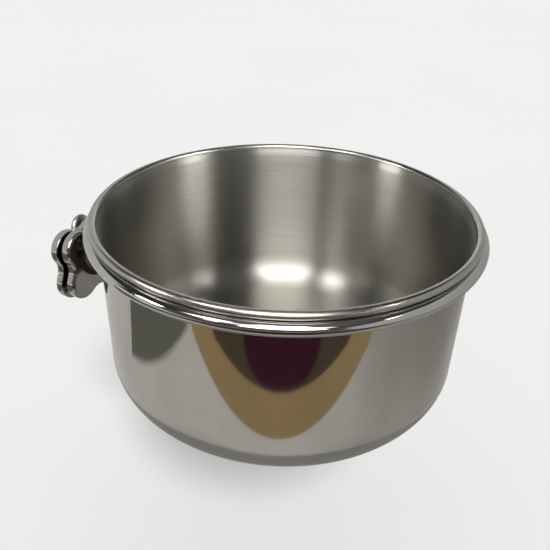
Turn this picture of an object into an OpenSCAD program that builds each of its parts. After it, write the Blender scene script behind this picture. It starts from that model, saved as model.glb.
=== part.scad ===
// Hanging seed cup: a rolled-rim metal cup that sits in a rod ring. The ring
// hangs on a clamp of two lobed plates, which grip upright wires between them
// when the wing nut behind them is turned.
//
// Frame: the origin is on the clamp's axis, on the face of the front plate
// that meets the wires. +Z is up, -X points out through the wall of wires and
// +Y runs along the wall.

/* [Cup] */
// Width of the cup over its rolled rim
cup_w = 139.9; // [110:0.1:180]
// Height from the foot to the top of the rim
cup_h = 70; // [55:0.5:90]
// Thickness of the cup's sheet
sheet = 0.8; // [0.5:0.05:1]
// Diameter of the rolled rim
bead_d = 2.9; // [2.5:0.1:4]
// How far the wall's outside stands in from the rim's outer edge
wall_inset = 2.85; // [2.6:0.05:4]
// How much the wall narrows towards the foot
wall_taper = 0.4; // [0:0.1:2]
// Outside radius of the round corner between wall and foot
corner_r = 15; // [8:0.5:20]

/* [Ring and hanger] */
// Diameter of the rod that the ring and its hanger are made of
rod_d = 4.6; // [4:0.1:6]
// Gap between the cup's wall and the inside of the ring
ring_play = 0.2; // [0.15:0.05:1]
// How far the hanger reaches below the clamp's axis
hanger_foot = 8; // [5:0.5:10]
// Leg of the weld fillets
weld_leg = 1.1; // [0.6:0.1:1.5]
// Length of the two welds along the hanger
weld_l = 16; // [8:0.5:18]

/* [Clamp plates] */
// Width and height of a plate over its four lobes
plate_w = 28.2; // [26:0.2:32]
// Radius of a lobe
lobe_r = 7.1; // [6.5:0.1:8]
// Depth of the hollow between two lobes
notch_depth = 2; // [1:0.1:2.5]
// Thickness of the front plate
front_t = 3.4; // [2.6:0.1:4]
// Thickness of the rear plate
rear_t = 3.4; // [2:0.1:4]
// Radius of the rounded edge on each plate's outer face
edge_r = 1; // [0.5:0.1:1.4]
// Radius of the eased edge on each plate's wire side
ease_r = 0.3; // [0.2:0.05:0.5]
// Space between the plates, the thickness of a wire
wire_gap = 2; // [1.5:0.1:4]
// How far the clamp's axis stands to one side of the cup's centre
side_shift = 26.7; // [23:0.1:30]
// How far the clamp's axis lies below the centre of the rolled rim
clamp_drop = 25.9; // [23:0.1:30]
// Gap between the ring and the plane of the wires
wall_gap = 0.3; // [0.1:0.1:1]

/* [Stud and wing nut] */
// Outside diameter of the stud's thread
stud_d = 6; // [5:0.5:8]
// Pitch of the thread
thread_pitch = 1; // [0.8:0.05:1.25]
// Depth of the thread
thread_depth = 0.6; // [0.4:0.05:0.75]
// Length of the stud beyond the front plate
stud_l = 16; // [15:0.5:30]
// Gap round the stud in the rear plate's hole
hole_play = 1.1; // [1:0.05:1.4]
// How far the loose rear plate hangs below the clamp's axis
rear_drop = 0.8; // [0:0.05:0.85]
// How far it has slid to one side, away from the cup's centre
rear_slip = 0.5; // [0:0.05:0.6]
// Gap round the stud in the nut's bore
nut_play = 0.05; // [0.02:0.01:0.1]
// Gap between the nut and the rear plate
nut_gap = 0.1; // [0.05:0.05:0.2]
// Diameter of the nut's hub at its foot
hub_d = 11; // [9:0.5:13]
// Diameter of the nut's hub at its top
hub_top_d = 8.6; // [7:0.1:10]
// Height of the nut's hub
hub_h = 7; // [5:0.5:9]
// Radius of one ear
ear_r = 5; // [4.5:0.1:7]
// Distance from the nut's axis to the middle of an ear
ear_reach = 10.4; // [8:0.1:11]
// Width of the neck between an ear and the hub
neck_w = 7; // [5:0.5:9]
// Thickness of an ear
ear_t = 2.4; // [1.8:0.1:3]
// Lean of the ears away from the rear plate, in degrees
ear_lean = 5; // [4:1:20]
// Turn of the ears from level when the clamp is tight, in degrees
ear_turn = 60; // [0:1:90]

/* [Hidden] */
$fn = 96;
// Overrun of a cut past the face it breaks
overrun = 0.5;
// Gap between the rolled rim and the ring that it rests on
seat_gap = 0.15;
// Gap round the stud's shank in the front plate
shank_gap = 0.02;
// Height of the flare that carries the wall out to the rolled rim
flare_h = 3;
// Half angle and direction of the seam left open under the rolled rim, in degrees
seam_half = 28;
seam_at = 218;
// Corner broken off the hub's top and the stud's tip, and the hub's plain foot
chamfer = 0.5;
// Height of the welds' start above the hanger's foot
weld_start = 0.5;
// Share of the rod's radius at which the hanger's top stops under the ring's centre
cope_share = 0.5;
// Share of the rod's radius at which the ball of weld sits under the ring's centre
weld_drop_share = 1.25;
// Share of the rod's radius between the hanger's axis and its side welds
weld_side_share = 0.92;
// Share of the weld's leg by which its centre stands off the plate
weld_off_share = 0.5;
// Steps round a lobe and round a hollow, over a rounded and over an eased edge
lobe_steps = 18;
notch_steps = 8;
edge_steps = 5;
ease_steps = 2;

bead_r = bead_d / 2;
rod_r = rod_d / 2;
stud_r = stud_d / 2;
bead_c = cup_w / 2 - bead_r;
wall_r = cup_w / 2 - wall_inset;
foot_z = bead_r - cup_h;
ring_r = wall_r + ring_play + rod_r;
ring_drop = sqrt(pow(bead_r + rod_r + seat_gap, 2) - pow(ring_r - bead_c, 2));

// The round corner's centre, the wall's top edge and the direction that the wall faces
corner_c = [wall_r - wall_taper - corner_r, foot_z + corner_r];
wall_top = [wall_r, -flare_h];
wall_a = tangent_angle(corner_c, corner_r, wall_top);

// Places in the frame
cup_x = ring_r + rod_r + wall_gap;
cup_y = side_shift;
rim_z = clamp_drop;
ring_z = rim_z - ring_drop;
rear_x = -wire_gap - rear_t;
nut_x = rear_x - nut_gap;
// The hanger stands on the front plate, straight under the ring
hang_x = front_t + rod_r;
hang_y = cup_y - sqrt(pow(ring_r, 2) - pow(cup_x - hang_x, 2));

// The outline of a plate: four lobes, joined by hollows that are tangent to them
lobe_c = plate_w / 2 - lobe_r;
notch_floor = plate_w / 2 - notch_depth;
notch_r = (pow(lobe_c, 2) + pow(notch_floor - lobe_c, 2) - pow(lobe_r, 2)) / (2 * notch_depth);
notch_c = notch_floor + notch_r;
notch_a = atan2(lobe_c, notch_c - lobe_c);

function on_circle(centre, r, a) = centre + r * [cos(a), sin(a)];

// Where a line from a point outside a circle touches it, as an angle at the centre
function tangent_angle(centre, r, point) =
    atan2(point.y - centre.y, point.x - centre.x) - acos(r / norm(point - centre));

// A quarter of the plate's outline, drawn in by inset: half a hollow, a lobe, half a hollow
function quarter_outline(inset) = concat(
    [for (i = [1:notch_steps]) on_circle([notch_c, 0], notch_r + inset, 180 - notch_a * i / notch_steps)],
    [for (i = [1:lobe_steps - 1])
        on_circle([lobe_c, lobe_c], lobe_r - inset, -notch_a + (90 + 2 * notch_a) * i / lobe_steps)],
    [for (i = [0:notch_steps - 1])
        on_circle([0, notch_c], notch_r + inset, notch_a - 90 - notch_a * i / notch_steps)]);

function turned(points, a) = [for (p = points) [p.x * cos(a) - p.y * sin(a), p.x * sin(a) + p.y * cos(a)]];

function plate_outline(inset) = [for (a = [0:90:270]) each turned(quarter_outline(inset), a)];

// Inset and height of each level of a plate: eased below, rounded above
function plate_levels(t) = concat(
    [for (i = [0:ease_steps])
        [ease_r * (1 - sin(90 * i / ease_steps)), ease_r * (1 - cos(90 * i / ease_steps))]],
    [for (i = [0:edge_steps])
        [edge_r * (1 - cos(90 * i / edge_steps)), t - edge_r + edge_r * sin(90 * i / edge_steps)]]);

// A solid whose skin runs from each closed outline to the next
module skin(outlines) {
    n = len(outlines[0]);
    top = len(outlines) - 1;
    polyhedron(
        points = [for (o = outlines) each o],
        faces = concat(
            [[for (i = [0:n - 1]) i]],
            [for (k = [0:top - 1]) for (i = [0:n - 1])
                [k * n + i, (k + 1) * n + i, (k + 1) * n + (i + 1) % n, k * n + (i + 1) % n]],
            [[for (i = [n - 1:-1:0]) top * n + i]]));
}

// A plate on its wire side, with its rounded face up
module lobed_plate(t, hole_r) {
    difference() {
        skin([for (l = plate_levels(t)) [for (p = plate_outline(l[0])) [p.x, p.y, l[1]]]]);
        translate([0, 0, -overrun]) cylinder(r = hole_r, h = t + 2 * overrun);
    }
}

// Turns +Z towards the wall of wires (-X) or towards the cup (+X), keeping +Y level
module towards_wall() { rotate([0, -90, 0]) children(); }
module towards_cup() { rotate([0, 90, 0]) children(); }

// Half section of the cup up to the middle of its bead: all that is inside its outer face
module cup_outside() {
    polygon([[0, foot_z], [corner_c.x, foot_z], on_circle(corner_c, corner_r, wall_a), wall_top,
             [bead_c - bead_r + sheet, 0], [0, 0]]);
    translate(corner_c) circle(corner_r);
}

// All that is inside its inner face
module cup_inside() {
    polygon([[0, foot_z + sheet], [corner_c.x, foot_z + sheet],
             on_circle(corner_c, corner_r - sheet, wall_a), on_circle(wall_top, -sheet, wall_a),
             [bead_c - bead_r, 0], [bead_c - bead_r, overrun], [0, overrun]]);
    translate(corner_c) circle(corner_r - sheet);
}

// The sheet rolled outwards into a bead, open at the seam where its edge ends
module rolled_bead() {
    centre = [bead_c, 0];
    difference() {
        translate(centre) circle(bead_r);
        translate(centre) circle(bead_r - sheet);
        polygon([centre, for (s = [-1:1]) on_circle(centre, 2 * bead_r, seam_at + s * seam_half)]);
    }
}

module cup() {
    color("silver") translate([cup_x, cup_y, rim_z]) rotate_extrude() {
        difference() {
            cup_outside();
            cup_inside();
        }
        rolled_bead();
    }
}

module ring_solid() {
    translate([cup_x, cup_y, ring_z]) rotate_extrude() translate([ring_r, 0]) circle(rod_r);
}

module ring() {
    color("gainsboro") ring_solid();
}

module hanger_rod() {
    translate([hang_x, hang_y, -hanger_foot])
        cylinder(r = rod_r, h = hanger_foot + ring_z - cope_share * rod_r);
}

// Short upright rod, from the front plate's face up to the ring
module hanger() {
    color("gainsboro") difference() {
        hanger_rod();
        ring_solid();
    }
}

module front_plate() {
    color("lightgray") towards_cup() lobed_plate(front_t, stud_r + shank_gap);
}

module rear_plate() {
    color("lightgray") translate([-wire_gap, -rear_slip, -rear_drop]) towards_wall()
        lobed_plate(rear_t, stud_r + hole_play);
}

// Half section of the stud: a plain shank in the front plate, then the thread's crests and roots
module stud_section() {
    crests = floor((stud_l - 2 * chamfer) / thread_pitch);
    root_r = stud_r - thread_depth;
    polygon(concat(
        [[0, -front_t], [stud_r, -front_t], [stud_r, chamfer]],
        [for (i = [0:crests - 1]) each [
            [root_r, chamfer + (i + 0.5) * thread_pitch],
            [stud_r, chamfer + (i + 1) * thread_pitch]]],
        [[root_r, stud_l], [0, stud_l]]));
}

module stud() {
    color("darkgray") towards_wall() rotate_extrude() stud_section();
}

// Welds: a ball round the hanger's top under the ring, dressed flush where the cup passes, and
// fillets along both sides of the hanger on the plate
module welds() {
    color("gray") difference() {
        union() {
            translate([hang_x, hang_y, ring_z - weld_drop_share * rod_r]) sphere(r = rod_r + weld_leg);
            for (side = [-1, 1])
                translate([front_t + weld_off_share * weld_leg, hang_y + side * weld_side_share * rod_r,
                           weld_start - hanger_foot])
                    cylinder(r = weld_leg, h = weld_l);
        }
        ring_solid();
        hanger_rod();
        translate([cup_x, cup_y, 0]) cylinder(r = wall_r + ring_play, h = rim_z);
        translate([-overrun, -plate_w, -plate_w]) cube([front_t + overrun, 2 * plate_w, 2 * plate_w]);
    }
}

// One ear: a flat disc on a flat neck, both with full round edges
module ear() {
    round_r = ear_t / 2;
    side = neck_w / 2 - round_r;
    rotate([0, -ear_lean, 0]) translate([0, 0, round_r]) {
        translate([ear_reach, 0, 0]) rotate_extrude() {
            translate([0, -round_r]) square([ear_r - round_r, ear_t]);
            translate([ear_r - round_r, 0]) circle(round_r);
        }
        translate([0, -side, -round_r]) cube([ear_reach, 2 * side, ear_t]);
        for (y = [-side, side]) translate([0, y, 0]) rotate([0, 90, 0]) cylinder(r = round_r, h = ear_reach);
    }
}

// Nut with two round ears, standing on its foot with its bore upright
module nut_body() {
    bore_r = stud_r + nut_play;
    difference() {
        union() {
            rotate_extrude() polygon([[0, 0], [hub_d / 2, 0], [hub_d / 2, chamfer],
                [hub_top_d / 2, hub_h - chamfer], [hub_top_d / 2 - chamfer, hub_h], [0, hub_h]]);
            for (a = [0, 180]) rotate([0, 0, a]) ear();
        }
        translate([0, 0, -overrun]) cylinder(r = bore_r, h = hub_h + 2 * overrun);
    }
}

module wing_nut() {
    color("darkgray") translate([nut_x, 0, 0]) rotate([ear_turn, 0, 0]) rotate([0, -90, 0])
        rotate([0, 0, 90]) nut_body();
}

cup();
ring();
hanger();
front_plate();
stud();
welds();
rear_plate();
wing_nut();
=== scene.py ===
"""Looks of the hanging seed cup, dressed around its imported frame.

The frame gives every node's place. Each sub-assembly below builds finer meshes
in the same places, gives them procedural finishes and hands them to their body.
Lengths in the classes are in millimetres, and the meshes are in metres.
"""

import logging
import math
import random
from collections.abc import Callable, Sequence
from dataclasses import dataclass
from enum import Enum

import bmesh
import bpy
from mathutils import Matrix, Vector


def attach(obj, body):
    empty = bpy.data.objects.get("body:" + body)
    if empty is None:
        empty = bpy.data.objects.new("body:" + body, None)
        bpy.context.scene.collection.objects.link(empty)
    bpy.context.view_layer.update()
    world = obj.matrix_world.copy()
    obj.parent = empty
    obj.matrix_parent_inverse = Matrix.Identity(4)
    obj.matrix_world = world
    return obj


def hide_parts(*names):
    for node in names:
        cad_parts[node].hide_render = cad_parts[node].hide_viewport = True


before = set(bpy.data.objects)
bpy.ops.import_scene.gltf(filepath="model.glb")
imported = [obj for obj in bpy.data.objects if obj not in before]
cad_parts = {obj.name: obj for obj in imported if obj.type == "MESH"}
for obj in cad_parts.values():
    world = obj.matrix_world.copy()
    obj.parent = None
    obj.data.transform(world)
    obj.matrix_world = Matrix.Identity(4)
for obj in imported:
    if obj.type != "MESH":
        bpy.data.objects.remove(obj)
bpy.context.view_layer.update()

log = logging.getLogger("seed_cup")

MM = 0.001
TURN = math.tau
UP = Vector((0.0, 0.0, 1.0))
ORIGIN = (0.0, 0.0, 0.0)

# Vertices nearer than these, in metres, count as one: in a profile, and over a mesh.
TINY = 1e-7
CLOSE = 1e-6

# Where the cup's upright axis stands, in millimetres.
CUP_AXIS = (72.2, 26.7)

Mesh = bmesh.types.BMesh
Socket = bpy.types.NodeSocket
Input = Socket | float
Pair = tuple[float, float]
Triple = tuple[float, float, float]


class Body(Enum):
    """The bodies that pieces ride on."""

    HOLDER = "holder"
    CUP = "cup"
    REAR_PLATE = "rear_plate"
    WING_NUT = "wing_nut"


class Slot(Enum):
    """The record's material slots."""

    CUP = "cup"
    ROD = "rod"
    PLATE = "plate"
    SCREW = "screw"
    WELD = "weld"


class Grain(Enum):
    """How the fine lines of a finish run."""

    TURNED = "turned"
    TUMBLED = "tumbled"
    CAST = "cast"


# ---- finishes


class Nodes:
    """Adds nodes to one tree."""

    def __init__(self, tree: bpy.types.NodeTree) -> None:
        """Keeps the tree to add to."""
        self.tree = tree

    def node(self, kind: str, **settings: object) -> bpy.types.Node:
        """Adds a node.

        Args:
            kind: The node's type name, without its ShaderNode prefix.
            **settings: Properties to set on the node.

        Returns:
            The new node.
        """
        made = self.tree.nodes.new("ShaderNode" + kind)
        for key, value in settings.items():
            setattr(made, key, value)
        return made

    def feed(self, socket: Socket, value: Input | Sequence[float]) -> None:
        """Links value to a socket, or sets it there.

        Args:
            socket: The input to feed.
            value: Another node's output, or a plain value.
        """
        if isinstance(value, Socket):
            self.tree.links.new(value, socket)
        else:
            socket.default_value = value

    def math(self, operation: str, *values: Input) -> Socket:
        """Adds a Math node.

        Args:
            operation: The node's operation.
            *values: Its inputs, one to three.

        Returns:
            The result's socket.
        """
        made = self.node("Math", operation=operation)
        for place, value in enumerate(values):
            self.feed(made.inputs[place], value)
        return made.outputs[0]

    def vector(self, operation: str, a: object, b: object = ORIGIN,
               output: str = "Vector") -> Socket:
        """Adds a Vector Math node.

        Args:
            operation: The node's operation.
            a: First input, a socket or three numbers.
            b: Second input, the same.
            output: Name of the output, "Vector" or "Value".

        Returns:
            The output's socket.
        """
        made = self.node("VectorMath", operation=operation)
        self.feed(made.inputs[0], a)
        self.feed(made.inputs[1], b)
        return made.outputs[output]

    def dot(self, vector: Socket, axis: Vector) -> Socket:
        """Measures a vector along an axis."""
        return self.vector("DOT_PRODUCT", vector, tuple(axis), "Value")

    def remap(self, value: Input, source: Sequence[float], target: Sequence[float],
              smooth: bool = False) -> Socket:
        """Maps one range onto another and clamps.

        Args:
            value: What is mapped.
            source: Lowest and highest value taken in.
            target: What those two become.
            smooth: Whether the ends ease in and out.

        Returns:
            The mapped value's socket.
        """
        made = self.node("MapRange", interpolation_type="SMOOTHSTEP" if smooth else "LINEAR")
        for socket, number in zip(made.inputs[0:5], (value, *source, *target)):
            self.feed(socket, number)
        return made.outputs[0]

    def noise(self, vector: Socket, scale: float, detail: float = 2.0,
              w: Socket | None = None) -> Socket:
        """Adds a Noise texture.

        Args:
            vector: Its coordinates.
            scale: Its scale.
            detail: Its octaves.
            w: Fourth coordinate, where the noise has one.

        Returns:
            The grey value's socket, around 0.5.
        """
        made = self.node("TexNoise", noise_dimensions="3D" if w is None else "4D")
        for name, value in (("Vector", vector), ("W", w), ("Scale", scale), ("Detail", detail)):
            if value is not None:
                self.feed(made.inputs[name], value)
        return made.outputs[0]

    def mix(self, factor: Input, a: object, b: object, kind: str = "RGBA") -> Socket:
        """Mixes two colours or two numbers.

        Args:
            factor: 0 gives a, 1 gives b.
            a: First colour or number, or its socket.
            b: The second, the same.
            kind: The node's data type, "RGBA" or "FLOAT".

        Returns:
            The result's socket.
        """
        made = self.node("Mix", data_type=kind)
        first, output = (6, 2) if kind == "RGBA" else (2, 0)
        for place, value in ((0, factor), (first, a), (first + 1, b)):
            self.feed(made.inputs[place], value)
        return made.outputs[output]


class Shader(Nodes):
    """Node tree of one material, around its Principled shader."""

    def __init__(self, name: str) -> None:
        """Starts the material.

        Args:
            name: Its name.
        """
        self.material = bpy.data.materials.new(name)
        self.material.use_nodes = True
        super().__init__(self.material.node_tree)
        self.surface = self.tree.nodes["Principled BSDF"]

    def set(self, **constants: object) -> None:
        """Sets constants on the Principled shader, with _ for spaces in the socket names."""
        for key, value in constants.items():
            self.surface.inputs[key.replace("_", " ")].default_value = value

    def plug(self, socket: str, output: Socket) -> None:
        """Links an output to the Principled shader's named socket."""
        self.tree.links.new(output, self.surface.inputs[socket])

    def bump(self, height: Socket, depth: float) -> None:
        """Bumps the surface's normal.

        Args:
            height: The height's socket.
            depth: The height's full size in metres.
        """
        made = self.node("Bump")
        for name, value in (("Strength", 1.0), ("Distance", depth), ("Height", height)):
            self.feed(made.inputs[name], value)
        self.plug("Normal", made.outputs[0])

    def fade(self, reach: Socket, over: Pair) -> None:
        """Fades the surface out where reach goes over a pair of values."""
        self.plug("Alpha", self.remap(reach, over, (1.0, 0.0), True))

    def cloud(self, scale: float, colours: Sequence[Sequence[float]]) -> None:
        """Clouds the base colour between two colours of four numbers each."""
        place = self.node("TexCoord").outputs["Object"]
        self.plug("Base Color", self.mix(self.noise(place, scale, detail=3.0), *colours))


def shades(colour: Triple, shares: Sequence[float]) -> list[tuple[float, ...]]:
    """Gives a colour's shades, each one a share of it, with an alpha of 1."""
    return [(*(share * part for part in colour), 1.0) for share in shares]


@dataclass(frozen=True)
class Steel:
    """A metal finish: its colour, gloss, fine lines and wear.

    Noise spans wear_range for the gloss and tone_range for the tones, and tones of
    plus or minus tone_limit give shade_shares of the colour.
    """

    name: str
    colour: Triple
    gloss: Pair
    grain: Grain = Grain.TURNED
    line_scale: float = 900.0
    line_depth: float = 0.004
    line_tone: float = 0.04
    smudge_scale: float = 28.0
    smudge_tone: float = 0.05
    line_wear: float = 0.3
    stretch: float = 0.0
    axis: Pair = CUP_AXIS
    wear_range: Pair = (0.32, 0.68)
    tone_range: Pair = (0.3, 0.7)
    tone_limit: float = 0.2
    shade_shares: Pair = (0.8, 1.2)
    smudge_detail: float = 4.0
    wander: float = 1.3
    scratch_turns: tuple[float, ...] = (0.35, 1.25, 2.3)
    scratch_tilt: float = 0.4
    scratch_thin: float = 0.06

    def material(self) -> bpy.types.Material:
        """Builds the finish as a material.

        Returns:
            The new material.
        """
        shader = Shader(self.name)
        shader.set(Metallic=1.0)
        place = shader.node("TexCoord").outputs["Object"]
        lines = self._lines(shader, place)
        smudge = shader.noise(place, self.smudge_scale, self.smudge_detail)
        worn = shader.mix(self.line_wear, smudge, lines, "FLOAT")
        shader.plug("Roughness", shader.remap(worn, self.wear_range, self.gloss))
        tones = [shader.remap(value, self.tone_range, (-reach, reach))
                 for value, reach in ((lines, self.line_tone), (smudge, self.smudge_tone))]
        limits = (-self.tone_limit, self.tone_limit)
        share = shader.remap(shader.math("ADD", *tones), limits, (0.0, 1.0))
        shader.plug("Base Color", shader.mix(share, *shades(self.colour, self.shade_shares)))
        shader.bump(lines, self.line_depth * MM)
        return shader.material

    def _lines(self, shader: Shader, place: Socket) -> Socket:
        """Makes the grey value of the fine lines.

        Args:
            shader: The tree to add to.
            place: Object coordinates.

        Returns:
            The lines' socket, around 0.5.
        """
        if self.grain is Grain.CAST:
            return shader.noise(place, self.line_scale, detail=3.0)
        if self.grain is Grain.TUMBLED:
            return self._scratches(shader, place)
        about = shader.vector("SUBTRACT", place, (self.axis[0] * MM, self.axis[1] * MM, 0.0))
        flat = shader.vector("MULTIPLY", about, (1.0, 1.0, 0.0))
        radius = shader.vector("LENGTH", flat, output="Value")
        unit = shader.vector("NORMALIZE", flat)
        if self.stretch:
            shader.set(Anisotropic=self.stretch, Anisotropic_Rotation=0.25)
            shader.plug("Tangent", shader.vector("CROSS_PRODUCT", tuple(UP), unit))
        ends = shader.node("SeparateXYZ")
        shader.feed(ends.inputs[0], unit)
        along = shader.node("CombineXYZ")
        for number, value, scale in ((0, ends.outputs[0], self.wander),
                                     (1, ends.outputs[1], self.wander),
                                     (2, radius, self.line_scale)):
            shader.feed(along.inputs[number], shader.math("MULTIPLY", value, scale))
        rise = shader.math("MULTIPLY", shader.dot(about, UP), self.line_scale)
        return shader.noise(along.outputs[0], scale=1.0, detail=1.0, w=rise)

    def _scratches(self, shader: Shader, place: Socket) -> Socket:
        """Makes short crossing scratches, as tumbling leaves them.

        Args:
            shader: The tree to add to.
            place: Object coordinates.

        Returns:
            The scratches' socket, around 0.5.
        """
        total: Input = 0.0
        for angle in self.scratch_turns:
            turned = shader.node("Mapping")
            shader.feed(turned.inputs["Vector"], place)
            turned.inputs["Rotation"].default_value = (angle, self.scratch_tilt * angle, 0.0)
            turned.inputs["Scale"].default_value = (1.0, self.scratch_thin, 1.0)
            lines = shader.noise(turned.outputs[0], self.line_scale)
            total = shader.math("ADD", total, lines)
        return shader.math("DIVIDE", total, float(len(self.scratch_turns)))


POLISHED = Steel("polished_outside", (0.52, 0.505, 0.47), (0.03, 0.06), line_scale=420.0,
                 line_depth=0.0003, line_tone=0.01, smudge_tone=0.015)
BRUSHED = Steel("brushed_inside", (0.405, 0.394, 0.359), (0.28, 0.35), line_scale=1500.0,
                line_depth=0.0006, line_tone=0.06, smudge_tone=0.03, line_wear=0.4, stretch=1.0)
SATIN = Steel("satin_rim", (0.44, 0.428, 0.395), (0.24, 0.32), line_scale=1500.0,
              line_depth=0.001, line_tone=0.04, smudge_tone=0.03, stretch=0.6)
ROD = Steel("polished_rod", (0.55, 0.54, 0.52), (0.04, 0.09), line_scale=1500.0,
            line_depth=0.0006, line_tone=0.03, smudge_scale=90.0)
PLATE = Steel("tumbled_plate", (0.47, 0.465, 0.45), (0.05, 0.14), grain=Grain.TUMBLED,
              line_scale=2200.0, line_depth=0.008, line_tone=0.05, smudge_scale=160.0)
SCREW = Steel("dull_screw", (0.48, 0.475, 0.46), (0.26, 0.42), grain=Grain.CAST,
              line_scale=1800.0, line_depth=0.012, line_tone=0.05, smudge_scale=220.0)
WELD = Steel("cleaned_weld", (0.40, 0.38, 0.36), (0.34, 0.55), grain=Grain.CAST,
             line_scale=1300.0, line_depth=0.02, line_tone=0.10, smudge_scale=320.0,
             smudge_tone=0.10)


# ---- meshes


class Pen:
    """Draws a profile in a bmesh, vertex by vertex: sideways is X, and up is Z or Y."""

    def __init__(self, start: Pair, upright: bool = True) -> None:
        """Sets the pen down.

        Args:
            start: The first point, in millimetres.
            upright: Whether the profile lies in XZ rather than XY.
        """
        self.mesh = bmesh.new()
        self.upright = upright
        self.first = self.mesh.verts.new(self.point(start))
        self.tip = self.first

    def point(self, at: Pair) -> Vector:
        """Gives a point of the profile's plane in metres."""
        return Vector((at[0], 0.0, at[1]) if self.upright else (at[0], at[1], 0.0)) * MM

    def line(self, to: Pair, steps: int = 1) -> "Pen":
        """Draws a straight line.

        Args:
            to: Its end, in millimetres.
            steps: How many edges it has.

        Returns:
            The pen.
        """
        step = (self.point(to) - self.tip.co) / steps
        for _ in range(steps):
            made = bmesh.ops.extrude_vert_indiv(self.mesh, verts=[self.tip])
            self.tip = made["verts"][0]
            self.tip.co += step
        return self

    def arc(self, centre: Pair, degrees: float, steps: int) -> "Pen":
        """Draws an arc about a centre, anticlockwise where degrees is positive.

        Args:
            centre: The arc's centre, in millimetres.
            degrees: How far it turns.
            steps: How many edges it has.

        Returns:
            The pen.
        """
        axis = Vector((0.0, -1.0, 0.0)) if self.upright else UP
        made = bmesh.ops.spin(self.mesh, geom=[self.tip], cent=self.point(centre), axis=axis,
                              angle=math.radians(degrees), steps=steps, dvec=ORIGIN,
                              use_duplicate=False)
        self.tip = next(item for item in made["geom_last"]
                        if isinstance(item, bmesh.types.BMVert))
        return self

    def close(self) -> "Pen":
        """Joins the tip to the first point with an edge and returns the pen."""
        self.mesh.edges.new((self.tip, self.first))
        return self


def revolve(profile: Mesh, steps: int) -> None:
    """Spins a profile round Z into a closed skin with its faces outwards.

    Args:
        profile: The mesh that holds the profile in XZ.
        steps: Faces round the turn.
    """
    bmesh.ops.spin(profile, geom=profile.verts[:] + profile.edges[:], cent=ORIGIN, axis=UP,
                   angle=TURN, steps=steps, dvec=ORIGIN, use_merge=True, use_duplicate=False)
    bmesh.ops.remove_doubles(profile, verts=profile.verts[:], dist=TINY)
    bmesh.ops.recalc_face_normals(profile, faces=profile.faces[:])


def stand_at(mesh: Mesh, axis: Pair) -> None:
    """Moves a mesh that was built round Z to its own upright axis, in millimetres."""
    bmesh.ops.translate(mesh, verts=mesh.verts[:], vec=Vector((*axis, 0.0)) * MM)


def bevel(mesh: Mesh, edges: list[bmesh.types.BMEdge], width: float, segments: int) -> None:
    """Rounds edges.

    Args:
        mesh: The mesh.
        edges: Its edges to round.
        width: The round's radius in millimetres.
        segments: Faces across the round.
    """
    bmesh.ops.bevel(mesh, geom=edges, offset=width * MM, offset_type="OFFSET", segments=segments,
                    profile=0.5, affect="EDGES", material=-1, clamp_overlap=True)


def to_data(name: str, mesh: Mesh) -> bpy.types.Mesh:
    """Turns a mesh into an object's data.

    Args:
        name: The data's name.
        mesh: The mesh. It is freed.

    Returns:
        The data.
    """
    data = bpy.data.meshes.new(name)
    mesh.to_mesh(data)
    mesh.free()
    return data


def add(name: str, data: bpy.types.ID) -> bpy.types.Object:
    """Adds an object to the scene.

    Args:
        name: Its name.
        data: Its data.

    Returns:
        The object.
    """
    made = bpy.data.objects.new(name, data)
    bpy.context.scene.collection.objects.link(made)
    return made


def join(target: Mesh, other: Mesh) -> None:
    """Adds another mesh's shells to a mesh.

    Args:
        target: The mesh that takes them.
        other: The mesh that gives them. It is freed.
    """
    data = to_data("joined", other)
    target.from_mesh(data)
    bpy.data.meshes.remove(data)


@dataclass
class Piece:
    """One finished object: its mesh, finishes, body and the node it stands for."""

    name: str
    mesh: Mesh
    body: Body
    slot: Slot
    finishes: Sequence[Steel]
    nodes: Sequence[str]
    sharp: float = 40.0

    def place(self) -> None:
        """Makes the object and hands it to the frame."""
        data = to_data(self.name, self.mesh)
        data.shade_smooth()
        data.set_sharp_from_angle(angle=math.radians(self.sharp))
        for finish in self.finishes:
            data.materials.append(finish.material())
        made = add(self.name, data)
        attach(made, self.body.value)
        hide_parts(*self.nodes)
        log.info("%s: %d faces on %s", self.name, len(data.polygons), self.body.value)


def fuse(mesh: Mesh, voxel: float, rounds: int) -> Mesh:
    """Casts overlapping closed shells into one skin with soft inner corners.

    Args:
        mesh: The shells. It is freed.
        voxel: The skin's cell size in millimetres.
        rounds: How often the skin is smoothed.

    Returns:
        The new skin.
    """
    scratch = add("shells", to_data("shells", mesh))
    cells = scratch.modifiers.new("cells", "REMESH")
    cells.mode = "VOXEL"
    cells.voxel_size = voxel * MM
    skin = scratch.evaluated_get(bpy.context.evaluated_depsgraph_get())
    fused = bmesh.new()
    fused.from_mesh(bpy.data.meshes.new_from_object(skin))
    bpy.data.objects.remove(scratch)
    for _ in range(rounds):
        bmesh.ops.smooth_vert(fused, verts=fused.verts[:], factor=0.5, use_axis_x=True,
                              use_axis_y=True, use_axis_z=True)
    return fused


# ---- cup


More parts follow.
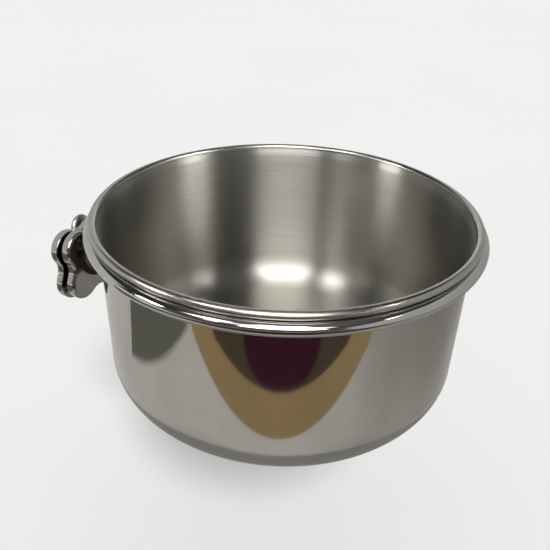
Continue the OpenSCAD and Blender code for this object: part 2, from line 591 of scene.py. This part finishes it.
@dataclass
class Cup:
    """The drawn cup with its rolled rim.

    The bends are eased within bend_h of the flare's foot and bend_in of the wall.
    The rim's finish ends rim_skirt outside the bead.
    """

    centre: Pair = CUP_AXIS
    rim_z: float = 25.9
    rim_r: float = 68.5
    bead_r: float = 1.45
    sheet: float = 0.8
    wall_r: float = 67.1
    flare_h: float = 3.0
    corner: Pair = (51.7, -27.65)
    corner_r: float = 15.0
    curl_to: float = 246.0
    bend_h: float = 1.4
    bend_in: float = 2.0
    bend_rounds: int = 3
    rim_skirt: float = 0.1
    steps: int = 256
    base_steps: int = 6
    corner_steps: int = 30
    wall_steps: int = 12
    flare_steps: int = 5
    bead_steps: int = 52
    curl_steps: int = 28
    edge_steps: int = 2
    finishes: tuple[Steel, ...] = (POLISHED, BRUSHED, SATIN)

    def build(self) -> Piece:
        """Spins the sheet's closed profile into the cup.

        Returns:
            The cup as a piece.
        """
        inner_r = self.corner_r - self.sheet
        flare_z = self.rim_z - self.flare_h
        bead = (self.rim_r, self.rim_z)
        curl, inside = self.curl_to - 360.0 - 180.0, self.bead_r - self.sheet
        edge = math.radians(self.curl_to)
        pen = Pen((0.0, self.corner[1] - inner_r))
        pen.line((self.corner[0], self.corner[1] - inner_r), self.base_steps)
        pen.arc(self.corner, 90.0, self.corner_steps)
        pen.line((self.wall_r - self.sheet, flare_z), self.wall_steps)
        pen.line((self.rim_r - self.bead_r, self.rim_z), self.flare_steps)
        pen.arc(bead, curl, self.bead_steps)
        pen.line((self.rim_r + inside * math.cos(edge), self.rim_z + inside * math.sin(edge)),
                 self.edge_steps)
        pen.arc(bead, -curl, self.curl_steps)
        pen.line((self.wall_r, flare_z), self.flare_steps)
        pen.line((self.corner[0] + self.corner_r, self.corner[1]), self.wall_steps)
        pen.arc(self.corner, -90.0, self.corner_steps)
        pen.line((0.0, self.corner[1] - self.corner_r), self.base_steps)
        self._ease_flare(pen.mesh, flare_z)
        revolve(pen.mesh, self.steps)
        stand_at(pen.mesh, self.centre)
        self._zones(pen.mesh)
        return Piece("cup_shell", pen.mesh, Body.CUP, Slot.CUP, self.finishes, ("cup",),
                     sharp=60.0)

    def _ease_flare(self, profile: Mesh, flare_z: float) -> None:
        """Softens the bends between wall, flare and rim.

        Args:
            profile: The profile in XZ.
            flare_z: Where the flare leaves the wall, in millimetres.
        """
        near = [vert for vert in profile.verts
                if abs(vert.co.z / MM - flare_z) < self.bend_h
                and vert.co.x / MM > self.wall_r - self.bend_in]
        for _ in range(self.bend_rounds):
            bmesh.ops.smooth_vert(profile, verts=near, factor=0.5, use_axis_x=True)

    def _zones(self, mesh: Mesh) -> None:
        """Gives outside, inside and rim their finishes by where each face looks.

        Args:
            mesh: The whole cup.
        """
        axis = Vector((*self.centre, 0.0)) * MM
        inside, rim = self.finishes.index(BRUSHED), self.finishes.index(SATIN)
        for face in mesh.faces:
            at = face.calc_center_median() - axis
            outward = Vector((at.x, at.y, 0.0))
            from_bead = math.hypot(outward.length / MM - self.rim_r, at.z / MM - self.rim_z)
            outward.normalize()
            if from_bead < self.bead_r + self.rim_skirt and outward.length:
                face.material_index = rim
            elif face.normal.dot(UP - outward) > 0.0:
                face.material_index = inside


# ---- holder


@dataclass
class Holder:
    """The ring, its hanger and their welds.

    The pairs that end in _draw are the limits of random draws. No weld comes nearer
    to the cup's axis than clear_r.
    """

    centre: Pair = CUP_AXIS
    ring_r: float = 69.6
    ring_z: float = 22.158
    ring_steps: int = 320
    rod_r: float = 2.3
    rod_steps: int = 48
    hang: Pair = (5.7, 6.16)
    hang_foot: float = -8.0
    hang_bite: float = 0.4
    hang_ease: float = 0.5
    ease_steps: int = 8
    hang_steps: int = 10
    weld_seed: int = 7
    weld_z: float = 19.28
    weld_path: float = 2.35
    weld_z_draw: Pair = (-0.1, 0.1)
    ripples: int = 20
    ripple_r: float = 1.0
    ripple_draw: Pair = (-0.07, 0.05)
    side_x: float = 3.85
    side_off: float = 2.116
    side_y_draw: Pair = (-0.05, 0.05)
    side_r: float = 1.1
    side_draw: Pair = (0.86, 0.95)
    side_span: Pair = (-7.5, 8.5)
    side_end: float = 0.8
    side_gap: float = 0.75
    weld_cell: float = 0.16
    weld_rounds: int = 2
    clear_r: float = 67.32

    def ring(self) -> Piece:
        """Spins the rod's section into the closed ring.

        Returns:
            The ring as a piece.
        """
        pen = Pen((self.ring_r + self.rod_r, self.ring_z))
        drawn = self.rod_steps - 1
        pen.arc((self.ring_r, self.ring_z), 360.0 * drawn / self.rod_steps, drawn).close()
        revolve(pen.mesh, self.ring_steps)
        stand_at(pen.mesh, self.centre)
        return Piece("ring_rod", pen.mesh, Body.HOLDER, Slot.ROD, (ROD,), ("ring",))

    def hanger(self) -> Piece:
        """Makes the short rod under the ring, with an eased foot.

        Returns:
            The hanger as a piece.
        """
        top = self.ring_z - self.hang_bite
        flat_r = self.rod_r - self.hang_ease
        pen = Pen((0.0, self.hang_foot))
        pen.line((flat_r, self.hang_foot))
        pen.arc((flat_r, self.hang_foot + self.hang_ease), 90.0, self.ease_steps)
        pen.line((self.rod_r, top), self.hang_steps).line((0.0, top))
        revolve(pen.mesh, self.rod_steps)
        stand_at(pen.mesh, self.hang)
        finish = Steel("hanger_rod", ROD.colour, ROD.gloss, line_scale=ROD.line_scale,
                       line_depth=0.001, axis=self.hang)
        return Piece("hanger_rod", pen.mesh, Body.HOLDER, Slot.ROD, (finish,), ("hanger",))

    def welds(self) -> Piece:
        """Lays the weld under the ring and the two beside the hanger.

        Returns:
            The three welds as one piece.
        """
        draw = random.Random(self.weld_seed)
        mesh = bmesh.new()
        for turn in range(self.ripples):
            angle = TURN * turn / self.ripples
            at = (self.hang[0] + self.weld_path * math.cos(angle),
                  self.hang[1] + self.weld_path * math.sin(angle),
                  self.weld_z + draw.uniform(*self.weld_z_draw))
            self._blob(mesh, at, self.ripple_r + draw.uniform(*self.ripple_draw))
        low, high = self.side_span
        for side in (-1.0, 1.0):
            y = self.hang[1] + side * self.side_off
            z = low + self.side_r * self.side_end
            while z < high - self.side_r * self.side_end:
                self._blob(mesh, (self.side_x, y + draw.uniform(*self.side_y_draw), z),
                           self.side_r * draw.uniform(*self.side_draw))
                z += self.side_gap
        skin = fuse(mesh, self.weld_cell, self.weld_rounds)
        axis = Vector((*self.centre, 0.0)) * MM
        for vert in skin.verts:
            out = vert.co - axis
            out.z = 0.0
            if out.length < self.clear_r * MM:
                vert.co += out.normalized() * (self.clear_r * MM - out.length)
        return Piece("weld_beads", skin, Body.HOLDER, Slot.WELD, (WELD,), ("welds",),
                     sharp=180.0)

    def _blob(self, mesh: Mesh, at: Triple, radius: float) -> None:
        """Adds one ripple of a weld, in millimetres."""
        bmesh.ops.create_icosphere(mesh, subdivisions=3, radius=radius * MM,
                                   matrix=Matrix.Translation(Vector(at) * MM))


# ---- clamp


@dataclass
class ClampPlate:
    """A four-lobed plate with a rounded outer and an eased inner edge.

    Edges within hole_rim of the hole belong to it, and those where the faces turn by
    more than corner, in radians, are sharp.
    """

    name: str
    node: str
    body: Body
    inner_x: float
    outward: float
    shift: Pair = (0.0, 0.0)
    thick: float = 3.4
    lobe_c: float = 7.0
    lobe_r: float = 7.1
    notch_c: float = 18.25
    hole_r: float = 3.02
    edge_r: float = 1.0
    ease_r: float = 0.3
    hole_ease: float = 0.2
    hole_rim: float = 1.0
    corner: float = 1.0
    lobe_steps: int = 36
    notch_steps: int = 9
    edge_steps: int = 9
    ease_steps: int = 4
    hole_steps: int = 3

    def build(self) -> Piece:
        """Bridges outline and hole, gives them thickness and rounds the edges.

        Returns:
            The plate as a piece.
        """
        turn = math.degrees(math.atan2(self.lobe_c, self.notch_c - self.lobe_c))
        notch_r = math.hypot(self.notch_c - self.lobe_c, self.lobe_c) - self.lobe_r
        pen = Pen((self.notch_c - notch_r, 0.0), upright=False)
        for quarter in range(4):
            near, lobe, far = (self._turned(point, quarter) for point in (
                (self.notch_c, 0.0), (self.lobe_c, self.lobe_c), (0.0, self.notch_c)))
            pen.arc(near, -turn, self.notch_steps).arc(lobe, 90.0 + 2.0 * turn, self.lobe_steps)
            pen.arc(far, -turn, self.notch_steps)
        mesh = pen.mesh
        bmesh.ops.remove_doubles(mesh, verts=mesh.verts[:], dist=CLOSE)
        outline = mesh.edges[:]
        hole = bmesh.ops.create_circle(mesh, segments=len(outline), radius=self.hole_r * MM,
                                       cap_ends=False)
        rim = list({edge for vert in hole["verts"] for edge in vert.link_edges})
        bmesh.ops.bridge_loops(mesh, edges=outline + rim)
        grown = bmesh.ops.extrude_face_region(mesh, geom=mesh.faces[:])
        lifted = [item for item in grown["geom"] if isinstance(item, bmesh.types.BMVert)]
        bmesh.ops.translate(mesh, verts=lifted, vec=(0.0, 0.0, self.thick * MM))
        bmesh.ops.recalc_face_normals(mesh, faces=mesh.faces[:])
        for level, outer, width, segments in (
                (self.thick, True, self.edge_r, self.edge_steps),
                (0.0, True, self.ease_r, self.ease_steps),
                (self.thick, False, self.hole_ease, self.hole_steps),
                (0.0, False, self.hole_ease, self.hole_steps)):
            bevel(mesh, self._rim_edges(mesh, level, outer), width, segments)
        self._stand(mesh)
        return Piece(self.name, mesh, self.body, Slot.PLATE, (PLATE,), (self.node,),
                     sharp=50.0)

    def _turned(self, point: Pair, quarter: int) -> Pair:
        """Turns a point by quarters about the plate's centre."""
        turned = Matrix.Rotation(quarter * TURN / 4, 2) @ Vector(point)
        return (turned.x, turned.y)

    def _rim_edges(self, mesh: Mesh, level: float, outer: bool) -> list[bmesh.types.BMEdge]:
        """Finds the sharp edges of the outline or of the hole on one face.

        Args:
            mesh: The plate, still lying in XY.
            level: The face's height in millimetres.
            outer: Whether the outline is wanted.

        Returns:
            The edges.
        """
        reach = (self.hole_r + self.hole_rim) * MM
        found = []
        for edge in mesh.edges:
            flat = all(abs(vert.co.z - level * MM) < CLOSE for vert in edge.verts)
            near = all((vert.co.xy.length > reach) == outer for vert in edge.verts)
            if flat and near and edge.calc_face_angle(0.0) > self.corner:
                found.append(edge)
        return found

    def _stand(self, mesh: Mesh) -> None:
        """Turns the lying plate upright and moves it to its place.

        Args:
            mesh: The plate, with its inner face at Z = 0.
        """
        upright = Matrix(((0.0, 0.0, self.outward), (1.0, 0.0, 0.0), (0.0, 1.0, 0.0)))
        place = Vector((self.inner_x, *self.shift)) * MM
        bmesh.ops.transform(mesh, verts=mesh.verts[:],
                            matrix=Matrix.Translation(place) @ upright.to_4x4())
        bmesh.ops.recalc_face_normals(mesh, faces=mesh.faces[:])


@dataclass
class Stud:
    """The threaded stud, on the clamp's axis.

    Its thread is spun spare pitches too long at each end and then trimmed.
    """

    major_r: float = 3.0
    root_r: float = 2.4
    pitch: float = 1.0
    head_x: float = 3.4
    thread_x: float = -0.2
    end_x: float = -16.0
    chamfer: float = 0.6
    head_ease: float = 0.25
    spare: int = 2
    steps: int = 64
    ease_steps: int = 5
    shank_steps: int = 4

    def build(self) -> Piece:
        """Makes the shank and the helical thread.

        Returns:
            The stud as a piece.
        """
        mesh = self._thread()
        flat_r = self.major_r - self.head_ease
        pen = Pen((0.0, -self.head_x))
        pen.line((flat_r, -self.head_x))
        pen.arc((flat_r, -self.head_x + self.head_ease), 90.0, self.ease_steps)
        pen.line((self.major_r, -self.thread_x), self.shank_steps).line((0.0, -self.thread_x))
        revolve(pen.mesh, self.steps)
        join(mesh, pen.mesh)
        bmesh.ops.rotate(mesh, verts=mesh.verts[:], cent=ORIGIN,
                         matrix=Matrix.Rotation(-TURN / 4, 3, "Y"))
        return Piece("thread_stud", mesh, Body.HOLDER, Slot.SCREW, (SCREW,), ("stud",),
                     sharp=50.0)

    def _thread(self) -> Mesh:
        """Spins a toothed line one turn while it rises one pitch, and trims the ends.

        Returns:
            The thread, standing along Z from the plate outwards.
        """
        length = self.thread_x - self.end_x
        crest, root = self.pitch / 8.0, self.pitch / 4.0
        flank = (self.pitch - crest - root) / 2.0
        z = -self.thread_x - self.spare * self.pitch
        pen = Pen((self.major_r, z))
        for _ in range(int(length / self.pitch) + 2 * self.spare):
            pen.line((self.major_r, z + crest)).line((self.root_r, z + crest + flank))
            pen.line((self.root_r, z + crest + flank + root)).line((self.major_r, z + self.pitch))
            z += self.pitch
        mesh = pen.mesh
        bmesh.ops.spin(mesh, geom=mesh.verts[:] + mesh.edges[:], cent=ORIGIN, axis=UP,
                       angle=TURN, steps=self.steps, use_merge=False, use_duplicate=False,
                       dvec=(0.0, 0.0, self.pitch * MM / self.steps))
        bmesh.ops.remove_doubles(mesh, verts=mesh.verts[:], dist=CLOSE)
        for level, side in ((-self.thread_x, -1.0), (-self.end_x, 1.0)):
            bmesh.ops.bisect_plane(mesh, geom=mesh.verts[:] + mesh.edges[:] + mesh.faces[:],
                                   dist=TINY, plane_co=(0.0, 0.0, level * MM),
                                   plane_no=(0.0, 0.0, side), clear_outer=True)
        for vert in mesh.verts:
            most = (self.major_r - self.chamfer) * MM + (-self.end_x * MM - vert.co.z)
            if vert.co.xy.length > most:
                vert.co.xy *= most / vert.co.xy.length
        rims = [edge for edge in mesh.edges if edge.is_boundary]
        bmesh.ops.holes_fill(mesh, edges=rims, sides=0)
        bmesh.ops.recalc_face_normals(mesh, faces=mesh.faces[:])
        return mesh


@dataclass
class WingNut:
    """The cast wing nut, on the clamp's axis. Its necks start root_wall off the bore."""

    foot_x: float = -5.5
    top_x: float = -12.5
    foot_r: float = 5.5
    top_r: float = 4.3
    bore_r: float = 3.05
    ear_r: float = 5.0
    ear_reach: float = 10.4
    ear_t: float = 2.4
    ear_lean: float = 5.0
    ear_turn: float = 60.0
    neck_w: float = 7.0
    edge: float = 0.3
    top_edge: Pair = (0.2, 0.4)
    root_wall: float = 0.55
    cell: float = 0.22
    rounds: int = 3
    hub_steps: int = 96
    ear_steps: int = 64
    ear_edge_steps: int = 12
    neck_steps: int = 24

    def build(self) -> Piece:
        """Casts hub, necks and ears into one skin.

        Returns:
            The nut as a piece.
        """
        height, edge = self.foot_x - self.top_x, self.edge
        wide, deep = self.top_edge
        pen = Pen((self.bore_r, edge))
        pen.line((self.bore_r + edge, 0.0)).line((self.foot_r - edge, 0.0))
        pen.line((self.foot_r, edge))
        pen.line((self.top_r + wide, height - deep)).line((self.top_r - edge, height))
        pen.line((self.bore_r + edge, height)).line((self.bore_r, height - edge)).close()
        revolve(pen.mesh, self.hub_steps)
        for share in (0.0, 0.5):
            self._ear(pen.mesh, share)
        place = (Matrix.Translation((self.foot_x * MM, 0.0, 0.0))
                 @ Matrix.Rotation(math.radians(self.ear_turn), 4, "X")
                 @ Matrix.Rotation(-TURN / 4, 4, "Y") @ Matrix.Rotation(TURN / 4, 4, "Z"))
        bmesh.ops.transform(pen.mesh, verts=pen.mesh.verts[:], matrix=place)
        skin = fuse(pen.mesh, self.cell, self.rounds)
        return Piece("wing_nut_body", skin, Body.WING_NUT, Slot.SCREW, (SCREW,),
                     ("wing_nut",), sharp=180.0)

    def _ear(self, nut: Mesh, share: float) -> None:
        """Adds one ear, a flat disc on a flat neck, both with full round edges.

        Args:
            nut: The nut, standing along Z.
            share: The ear's place as a share of a turn.
        """
        half, side = self.ear_t / 2.0, (self.neck_w - self.ear_t) / 2.0
        root = self.bore_r + self.root_wall
        length = self.ear_reach - root
        flat_r = self.ear_r - half
        pen = Pen((0.0, -half))
        pen.line((flat_r, -half)).arc((flat_r, 0.0), 180.0, self.ear_edge_steps)
        pen.line((0.0, half))
        revolve(pen.mesh, self.ear_steps)
        ear = pen.mesh
        bmesh.ops.translate(ear, verts=ear.verts[:], vec=(self.ear_reach * MM, 0.0, 0.0))
        middle = Matrix.Translation(Vector((root + length / 2.0, 0.0, 0.0)) * MM)
        size = Matrix.Diagonal((length * MM, 2.0 * side * MM, self.ear_t * MM, 1.0))
        bmesh.ops.create_cube(ear, size=1.0, matrix=middle @ size)
        for y in (-side, side):
            along = (Matrix.Translation((0.0, y * MM, 0.0)) @ middle
                     @ Matrix.Rotation(TURN / 4, 4, "Y"))
            bmesh.ops.create_cone(ear, cap_ends=True, segments=self.neck_steps, matrix=along,
                                  radius1=half * MM, radius2=half * MM, depth=length * MM)
        place = (Matrix.Rotation(share * TURN, 4, "Z")
                 @ Matrix.Rotation(-math.radians(self.ear_lean), 4, "Y")
                 @ Matrix.Translation((0.0, 0.0, half * MM)))
        bmesh.ops.transform(ear, verts=ear.verts[:], matrix=place)
        join(nut, ear)


# ---- studio


@dataclass(frozen=True)
class SoftBox:
    """A bright patch of the room, by its azimuth and height in degrees."""

    azimuth: float
    half_width: float
    low: float
    high: float
    strength: float
    soft: float = 5.0


@dataclass(frozen=True)
class Card:
    """A coloured card on the floor that only the metal mirrors.

    It reaches toward the camera's side and to the right from the cup's axis, in
    metres, lies lift millimetres above the floor and fades over its outer share soft.
    """

    name: str
    toward: Pair
    side: Pair
    lift: float
    colour: Triple
    soft: float = 0.0
    oval: bool = True
    shine: float = 0.5


@dataclass
class Studio:
    """Floor, light and camera.

    Azimuths count in degrees from the camera's side, to its right. Sizes of floor and
    boards are half sizes, in metres. The room darkens to the front over front_edge
    and upwards over horizon, and lightens again over zenith_edge, all in degrees.
    """

    floor_z: float = -143.0
    floor_half: float = 6.0
    floor_tones: Pair = (0.825, 0.855)
    floor_cloud: float = 3.0
    floor_fade: Pair = (0.6, 3.0)
    cloud_scale: float = 9.0
    card_tones: Pair = (0.8, 1.2)
    card_corner: float = 3.0
    board_tones: Pair = (0.93, 1.07)
    board_fade: Pair = (0.75, 1.0)
    left_board: Triple = (-0.035, 0.03, 0.035)
    left_size: Pair = (0.12, 0.035)
    left_tone: float = 0.75
    right_off: float = 0.115
    right_z: float = 43.0
    right_size: Pair = (0.25, 0.052)
    right_tone: float = 0.78
    front_edge: Pair = (50.0, 75.0)
    horizon: Pair = (0.0, 9.0)
    zenith_edge: Pair = (45.0, 80.0)
    tint: Triple = (1.0, 0.995, 0.985)
    room: float = 0.88
    ceiling: float = 0.04
    front: float = 0.12
    zenith: float = 0.12
    fill: float = 0.62
    key: float = 1.76
    key_width: float = 14.0
    key_from: Triple = (1.23, -1.63, 2.40)
    eye: Triple = (161.6, -165.26, 122.42)
    centre: Pair = CUP_AXIS
    azimuth: float = 25.9
    dip: float = 30.37
    roll: float = 1.78
    lens: float = 41.7
    sensor: float = 36.0
    boxes: tuple[SoftBox, ...] = (
        SoftBox(0.5, 23.0, 24.0, 72.0, 5.4, 2.0),
        SoftBox(-38.5, 4.0, 26.0, 42.0, 1.6, 2.0),
        SoftBox(-47.0, 9.5, 44.0, 58.0, 9.5, 3.0),
        SoftBox(-74.0, 7.5, 19.0, 29.0, 18.0, 2.0),
        SoftBox(-15.0, 47.0, 43.0, 51.0, 2.2, 4.0),
        SoftBox(71.5, 9.0, 29.0, 39.0, 25.0, 2.0),
        SoftBox(88.0, 12.0, 29.0, 39.0, 1.0, 12.0),
        SoftBox(0.0, 62.0, 8.0, 80.0, 0.06, 10.0),
        SoftBox(-176.0, 24.0, 0.0, 34.0, 0.75, 12.0))
    cards: tuple[Card, ...] = (
        Card("floor_card", (-0.75, 0.75), (-0.75, 0.75), 0.2, (0.55, 0.54, 0.52), 0.6),
        Card("grey_card", (-0.60, 0.45), (0.05, 0.75), 0.5, (0.27, 0.26, 0.245), 0.6),
        # Painted shadow: shade_card is a darker sheet under the cup that stands for the cup's
        # shadow on the floor, as the cup's lower edge mirrors it.
        Card("shade_card", (-0.165, 0.165), (-0.165, 0.165), 0.7, (0.27, 0.27, 0.26), 0.25),
        Card("left_card", (-0.02, 0.186), (-0.9, -0.208), 1.0, (0.11, 0.11, 0.095), 0.04,
             oval=False),
        Card("warm_card", (0.184, 0.9), (-0.6, 0.6), 1.2, (0.30, 0.21, 0.10)),
        Card("brown_card", (0.222, 0.9), (-0.6, 0.6), 2.2, (0.075, 0.06, 0.042),
             oval=False, shine=0.0),
        Card("far_card", (0.9, 3.5), (-1.6, 1.6), 1.4, (0.13, 0.11, 0.09), 0.1,
             oval=False),
        Card("dark_card", (0.218, 0.52), (-0.115, 0.120), 3.0, (0.045, 0.014, 0.024), 0.06,
             shine=0.0))

    def camera(self) -> None:
        """Stands the camera at the photograph's angle."""
        side, down = math.radians(self.azimuth), math.radians(self.dip)
        ahead = Vector((-math.sin(side) * math.cos(down), math.cos(side) * math.cos(down),
                        -math.sin(down)))
        right = Vector((math.cos(side), math.sin(side), 0.0))
        up = right.cross(ahead)
        tilt = math.radians(self.roll)
        turned_right = right * math.cos(tilt) + up * math.sin(tilt)
        turned_up = up * math.cos(tilt) - right * math.sin(tilt)
        data = bpy.data.cameras.new("photo_camera")
        data.lens = self.lens
        data.sensor_width = self.sensor
        data.clip_start = 0.01
        camera = add("photo_camera", data)
        camera.matrix_world = Matrix.Translation(Vector(self.eye) * MM) @ Matrix(
            (turned_right, turned_up, -ahead)).transposed().to_4x4()
        bpy.context.scene.camera = camera

    def _compass(self) -> tuple[Vector, Vector]:
        """Gives the level directions from the cup to the camera and to its right."""
        toward = (Vector(self.eye[:2]) - Vector(self.centre)).normalized()
        return Vector((*toward, 0.0)), Vector((-toward.y, toward.x, 0.0))

    def _lay(self, shader: Shader, name: str, middle: Vector, halves: Sequence[Vector],
             seen: bool = False) -> None:
        """Puts a flat stage sheet into the scene.

        Args:
            shader: Its material's tree.
            name: Its name.
            middle: Its middle, in metres.
            halves: From its middle to two of its edges, in metres.
            seen: Whether the camera and diffuse light meet it, and not only the metal.
        """
        axes = Matrix((*halves, halves[0].cross(halves[1]))).transposed()
        mesh = bmesh.new()
        bmesh.ops.create_grid(mesh, x_segments=1, y_segments=1, size=1.0,
                              matrix=Matrix.Translation(middle) @ axes.to_4x4())
        made = add(name, to_data(name, mesh))
        made.data.materials.append(shader.material)
        made.visible_camera = made.visible_diffuse = made.visible_shadow = seen

    def _shares(self, shader: Shader, middle: Vector, halves: Sequence[Vector]) -> list[Socket]:
        """Measures how far out a point of a sheet lies, 1 at the edge.

        Args:
            shader: The sheet's tree.
            middle: The sheet's middle, in metres.
            halves: From its middle to its edges, in metres.

        Returns:
            The share's socket along each half.
        """
        place = shader.node("TexCoord").outputs["Object"]
        away = shader.vector("SUBTRACT", place, tuple(middle))
        return [shader.math("ABSOLUTE", shader.dot(away, half / half.length_squared))
                for half in halves]

    def floor(self) -> None:
        """Lays the pale floor."""
        shader = Shader("pale_floor")
        shader.set(Roughness=0.9, Specular_IOR_Level=0.0)
        shader.cloud(self.floor_cloud, shades((1.0, 1.0, 1.0), self.floor_tones))
        place = shader.node("TexCoord").outputs["Object"]
        shader.fade(shader.vector("LENGTH", place, output="Value"), self.floor_fade)
        halves = [Vector(axis) * self.floor_half for axis in ((1.0, 0.0, 0.0), (0.0, 1.0, 0.0))]
        self._lay(shader, "floor", UP * self.floor_z * MM, halves, seen=True)

    def mirror_cards(self) -> None:
        """Lays the coloured cards, which neither the camera nor the floor's light meets."""
        toward, side = self._compass()
        for card in self.cards:
            middle = Vector((*self.centre, self.floor_z + card.lift)) * MM
            middle += toward * sum(card.toward) / 2.0 + side * sum(card.side) / 2.0
            halves = (toward * (card.toward[1] - card.toward[0]) / 2.0,
                      side * (card.side[1] - card.side[0]) / 2.0)
            shader = Shader(card.name)
            shader.set(Roughness=0.8, Specular_IOR_Level=card.shine)
            shader.cloud(self.cloud_scale, shades(card.colour, self.card_tones))
            if card.soft:
                shares = self._shares(shader, middle, halves)
                if card.oval:
                    powers = [shader.math("POWER", share, self.card_corner) for share in shares]
                    reach = shader.math("POWER", shader.math("ADD", *powers),
                                        1.0 / self.card_corner)
                else:
                    reach = shader.math("MAXIMUM", *shares)
                shader.fade(reach, (1.0 - card.soft, 1.0))
            self._lay(shader, card.name, middle, halves)

    def boards(self) -> None:
        """Stands a white board at each side of the ring, which only the metal mirrors."""
        toward, side = self._compass()
        right = Vector((*self.centre, self.right_z)) * MM + side * self.right_off
        for name, middle, along, (half_width, half_height), tone in (
                ("left_board", Vector(self.left_board), Vector((0.0, 1.0, 0.0)), self.left_size,
                 self.left_tone),
                ("right_board", right, toward, self.right_size, self.right_tone)):
            halves = (along * half_width, UP * half_height)
            shader = Shader(name)
            shader.set(Roughness=0.9)
            shader.cloud(self.cloud_scale, shades((tone, tone, tone), self.board_tones))
            shader.fade(*self._shares(shader, middle, halves[:1]), self.board_fade)
            self._lay(shader, name, middle, halves)

    def world(self) -> None:
        """Fills the room: pale, but dark in front and above, with the soft boxes in it."""
        world = bpy.data.worlds.new("studio")
        world.use_nodes = True
        shader = Nodes(world.node_tree)
        ground = world.node_tree.nodes["Background"]
        toward, side = self._compass()
        way = shader.node("TexCoord").outputs["Generated"]
        parts = [shader.dot(way, axis) for axis in (toward, side, UP)]
        azimuth, height = (shader.math("MULTIPLY", angle, math.degrees(1.0)) for angle in (
            shader.math("ARCTAN2", parts[1], parts[0]), shader.math("ARCSINE", parts[2])))
        behind = shader.remap(shader.math("ABSOLUTE", azimuth), self.front_edge,
                              (self.front, self.room), True)
        low = shader.remap(height, self.horizon, (behind, self.ceiling), True)
        high = shader.remap(height, self.zenith_edge, (0.0, self.zenith), True)
        total = shader.math("ADD", low, high)
        for box in self.boxes:
            turned = shader.math("SUBTRACT", azimuth, box.azimuth)
            off = shader.math("ABSOLUTE", shader.math("WRAP", turned, 180.0, -180.0))
            edge = (box.half_width - box.soft / 2, box.half_width + box.soft / 2)
            across = shader.remap(off, edge, (box.strength, 0.0), True)
            lower = shader.remap(height, (box.low - box.soft, box.low), (0.0, 1.0), True)
            upper = shader.remap(height, (box.high, box.high + box.soft), (1.0, 0.0), True)
            light = shader.math("MULTIPLY", across, shader.math("MULTIPLY", lower, upper))
            total = shader.math("ADD", total, light)
        path = shader.node("LightPath").outputs
        seen = shader.math("MAXIMUM", path["Is Camera Ray"], path["Is Transmission Ray"])
        lit = shader.mix(path["Is Glossy Ray"], self.fill, total, "FLOAT")
        shader.feed(ground.inputs["Strength"], shader.mix(seen, lit, self.room, "FLOAT"))
        shader.feed(ground.inputs["Color"], (*self.tint, 1.0))
        bpy.context.scene.world = world

    def sun(self) -> None:
        """Hangs the key light, wide enough for a soft edge to its shadow."""
        data = bpy.data.lights.new("key", "SUN")
        data.energy = self.key
        data.angle = math.radians(self.key_width)
        lamp = add("key", data)
        lamp.matrix_world = Vector(self.key_from).to_track_quat("Z", "Y").to_matrix().to_4x4()
        lamp.visible_camera = lamp.visible_glossy = False

    def build(self) -> None:
        """Sets up camera, floor, cards, boards and light."""
        self.camera()
        self.floor()
        self.mirror_cards()
        self.boards()
        self.world()
        self.sun()
        bpy.context.scene.view_settings.view_transform = "Standard"


def main() -> None:
    """Builds every sub-assembly and reports its pieces."""
    logging.basicConfig(level=logging.INFO, format="%(name)s %(message)s")
    Studio().build()
    holder = Holder()
    pieces: list[Callable[[], Piece]] = [
        Cup().build, holder.ring, holder.hanger, holder.welds,
        ClampPlate("front_plate_body", "front_plate", Body.HOLDER, inner_x=0.0,
                   outward=1.0).build,
        ClampPlate("rear_plate_body", "rear_plate", Body.REAR_PLATE, inner_x=-2.0,
                   outward=-1.0, shift=(-0.5, -0.8), hole_r=4.1).build,
        Stud().build, WingNut().build]
    for build in pieces:
        build().place()


if __name__ == "__main__":
    main()
